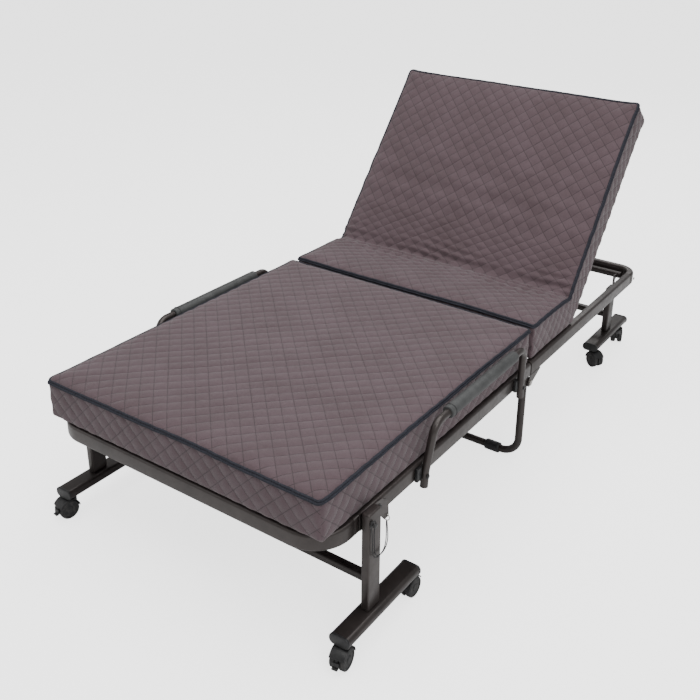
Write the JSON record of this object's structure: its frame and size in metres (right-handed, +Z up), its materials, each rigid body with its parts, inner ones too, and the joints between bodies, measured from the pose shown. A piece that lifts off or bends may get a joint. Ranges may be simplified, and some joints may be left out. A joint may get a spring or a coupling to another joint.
{
  "type": "folding cot",
  "caption": "Folding guest cot on twin-wheel casters, with a two-part steel frame, quilted mattress halves, a reclining head section, hand rails and a U-shaped centre leg.",
  "frame": {"origin": "centre of the bounding box in plan, on the floor", "axes": "+Z up, +Y from the foot of the bed towards the head, +X the side that carries the lock pin"},
  "size_m": [0.906, 1.828, 0.9112],
  "materials": {
    "paint": "satin taupe paint",
    "dark_paint": "satin dark bronze paint",
    "black_plastic": "matte black",
    "cover": "quilted mauve-brown knit",
    "sleeve": "soft grey-black foam sleeve",
    "steel": "zinc plated",
    "cord": "black elastic cord"
  },
  "bodies": {
    "head_legs": {"head_leg_post_left": "dark_paint", "head_leg_post_right": "dark_paint", "head_leg_base_left": "dark_paint", "head_leg_base_right": "dark_paint", "head_leg_crossbar": "dark_paint", "head_leg_pivot_tube": "dark_paint"},
    "head_frame": {"head_side_rail_left": "paint", "head_side_rail_right": "paint", "head_end_bow": "paint", "seat_deck": "dark_paint", "seat_mattress": "cover", "recline_ratchet_left": "black_plastic", "recline_ratchet_right": "black_plastic"},
    "backrest": {"back_frame": "paint", "back_deck": "dark_paint", "back_mattress": "cover"},
    "foot_frame": {"foot_side_rail_left": "paint", "foot_side_rail_right": "paint", "foot_end_bow": "paint", "foot_deck": "dark_paint", "foot_mattress": "cover", "centre_hinge_pin_left": "steel", "centre_hinge_pin_right": "steel", "handrail_left": "paint", "handrail_right": "paint", "handrail_grip_left": "sleeve", "handrail_grip_right": "sleeve"},
    "foot_legs": {"foot_leg_post_left": "paint", "foot_leg_post_right": "paint", "foot_leg_base_left": "dark_paint", "foot_leg_base_right": "dark_paint", "foot_leg_bracket_left": "paint", "foot_leg_bracket_right": "paint", "foot_leg_crossbar": "dark_paint", "lanyard_ring": "steel", "lock_pin_lanyard": "cord"},
    "centre_leg": {"centre_leg": "dark_paint", "centre_leg_pad_left": "black_plastic", "centre_leg_pad_right": "black_plastic"},
    "lock_pin": {"lock_pin": "steel"},
    "caster_foot_right_front": {"caster_hood_foot_right_front": "black_plastic"},
    "wheels_foot_right_front": {"caster_wheels_foot_right_front": "black_plastic"},
    "brake_foot_right_front": {"brake_pedal_foot_right_front": "black_plastic"},
    "caster_foot_right_rear": {"caster_hood_foot_right_rear": "black_plastic"},
    "wheels_foot_right_rear": {"caster_wheels_foot_right_rear": "black_plastic"},
    "caster_foot_left_front": {"caster_hood_foot_left_front": "black_plastic"},
    "wheels_foot_left_front": {"caster_wheels_foot_left_front": "black_plastic"},
    "brake_foot_left_front": {"brake_pedal_foot_left_front": "black_plastic"},
    "caster_foot_left_rear": {"caster_hood_foot_left_rear": "black_plastic"},
    "wheels_foot_left_rear": {"caster_wheels_foot_left_rear": "black_plastic"},
    "caster_head_right_front": {"caster_hood_head_right_front": "black_plastic"},
    "wheels_head_right_front": {"caster_wheels_head_right_front": "black_plastic"},
    "caster_head_right_rear": {"caster_hood_head_right_rear": "black_plastic"},
    "wheels_head_right_rear": {"caster_wheels_head_right_rear": "black_plastic"},
    "caster_head_left_front": {"caster_hood_head_left_front": "black_plastic"},
    "wheels_head_left_front": {"caster_wheels_head_left_front": "black_plastic"},
    "caster_head_left_rear": {"caster_hood_head_left_rear": "black_plastic"},
    "wheels_head_left_rear": {"caster_wheels_head_left_rear": "black_plastic"}
  },
  "joints": [
    {"name": "fold", "type": "hinge", "parent": "head_legs", "child": "head_frame", "pos_m": [0, 0.786, 0.288], "axis": [-1, 0, 0], "range_deg": [0, 90]},
    {"name": "recline", "type": "hinge", "parent": "head_frame", "child": "backrest", "pos_m": [0, 0.304, 0.3065], "axis": [1, 0, 0], "range_deg": [-51, 17]},
    {"name": "centre_hinge", "type": "hinge", "parent": "head_frame", "child": "foot_frame", "pos_m": [0, 0.011, 0.2525], "axis": [1, 0, 0], "range_deg": [0, 180]},
    {"name": "foot_leg_hinge", "type": "hinge", "parent": "foot_frame", "child": "foot_legs", "pos_m": [0, -0.764, 0.288], "axis": [-1, 0, 0], "range_deg": [0, 90]},
    {"name": "centre_leg_hinge", "type": "hinge", "parent": "foot_frame", "child": "centre_leg", "pos_m": [0, 0.011, 0.2525], "axis": [-1, 0, 0], "range_deg": [0, 90]},
    {"name": "lock_pin_slide", "type": "slide", "parent": "foot_legs", "child": "lock_pin", "axis": [1, 0, 0], "range_m": [0, 0.03]},
    {"name": "swivel_foot_right_front", "type": "hinge", "parent": "foot_legs", "child": "caster_foot_right_front", "pos_m": [0.428, -0.859, 0.045], "axis": [0, 0, 1], "continuous": true},
    {"name": "brake_foot_right_front", "type": "hinge", "parent": "caster_foot_right_front", "child": "brake_foot_right_front", "pos_m": [0.43051, -0.87682, 0.025], "axis": [0.9903, 0.1392, 0], "range_deg": [-10, 0]},
    {"name": "roll_foot_right_front", "type": "hinge", "parent": "caster_foot_right_front", "child": "wheels_foot_right_front", "pos_m": [0.43051, -0.87682, 0.025], "axis": [0.9903, 0.1392, 0], "continuous": true},
    {"name": "swivel_foot_right_rear", "type": "hinge", "parent": "foot_legs", "child": "caster_foot_right_rear", "pos_m": [0.428, -0.634, 0.045], "axis": [0, 0, 1], "continuous": true},
    {"name": "roll_foot_right_rear", "type": "hinge", "parent": "caster_foot_right_rear", "child": "wheels_foot_right_rear", "pos_m": [0.428, -0.616, 0.025], "axis": [-1, 0, 0], "continuous": true},
    {"name": "swivel_foot_left_front", "type": "hinge", "parent": "foot_legs", "child": "caster_foot_left_front", "pos_m": [-0.428, -0.859, 0.045], "axis": [0, 0, 1], "continuous": true},
    {"name": "brake_foot_left_front", "type": "hinge", "parent": "caster_foot_left_front", "child": "brake_foot_left_front", "pos_m": [-0.43051, -0.87682, 0.025], "axis": [0.9903, -0.1392, 0], "range_deg": [-10, 0]},
    {"name": "roll_foot_left_front", "type": "hinge", "parent": "caster_foot_left_front", "child": "wheels_foot_left_front", "pos_m": [-0.43051, -0.87682, 0.025], "axis": [0.9903, -0.1392, 0], "continuous": true},
    {"name": "swivel_foot_left_rear", "type": "hinge", "parent": "foot_legs", "child": "caster_foot_left_rear", "pos_m": [-0.428, -0.634, 0.045], "axis": [0, 0, 1], "continuous": true},
    {"name": "roll_foot_left_rear", "type": "hinge", "parent": "caster_foot_left_rear", "child": "wheels_foot_left_rear", "pos_m": [-0.428, -0.616, 0.025], "axis": [-1, 0, 0], "continuous": true},
    {"name": "swivel_head_right_front", "type": "hinge", "parent": "head_legs", "child": "caster_head_right_front", "pos_m": [0.338, 0.665, 0.045], "axis": [0, 0, 1], "continuous": true},
    {"name": "roll_head_right_front", "type": "hinge", "parent": "caster_head_right_front", "child": "wheels_head_right_front", "pos_m": [0.35359, 0.656, 0.025], "axis": [0.5, 0.866, 0], "continuous": true},
    {"name": "swivel_head_right_rear", "type": "hinge", "parent": "head_legs", "child": "caster_head_right_rear", "pos_m": [0.338, 0.89, 0.045], "axis": [0, 0, 1], "continuous": true},
    {"name": "roll_head_right_rear", "type": "hinge", "parent": "caster_head_right_rear", "child": "wheels_head_right_rear", "pos_m": [0.34561, 0.87369, 0.025], "axis": [0.9063, 0.4226, 0], "continuous": true},
    {"name": "swivel_head_left_front", "type": "hinge", "parent": "head_legs", "child": "caster_head_left_front", "pos_m": [-0.338, 0.665, 0.045], "axis": [0, 0, 1], "continuous": true},
    {"name": "roll_head_left_front", "type": "hinge", "parent": "caster_head_left_front", "child": "wheels_head_left_front", "pos_m": [-0.33184, 0.64809, 0.025], "axis": [0.9397, 0.342, 0], "continuous": true},
    {"name": "swivel_head_left_rear", "type": "hinge", "parent": "head_legs", "child": "caster_head_left_rear", "pos_m": [-0.338, 0.89, 0.045], "axis": [0, 0, 1], "continuous": true},
    {"name": "roll_head_left_rear", "type": "hinge", "parent": "caster_head_left_rear", "child": "wheels_head_left_rear", "pos_m": [-0.347, 0.87441, 0.025], "axis": [0.866, -0.5, 0], "continuous": true}
  ],
  "couplings": [
    {"joint": "centre_hinge", "follows": "fold", "ratio": 2},
    {"joint": "foot_leg_hinge", "follows": "fold", "ratio": 1},
    {"joint": "centre_leg_hinge", "follows": "fold", "ratio": 1}
  ]
}
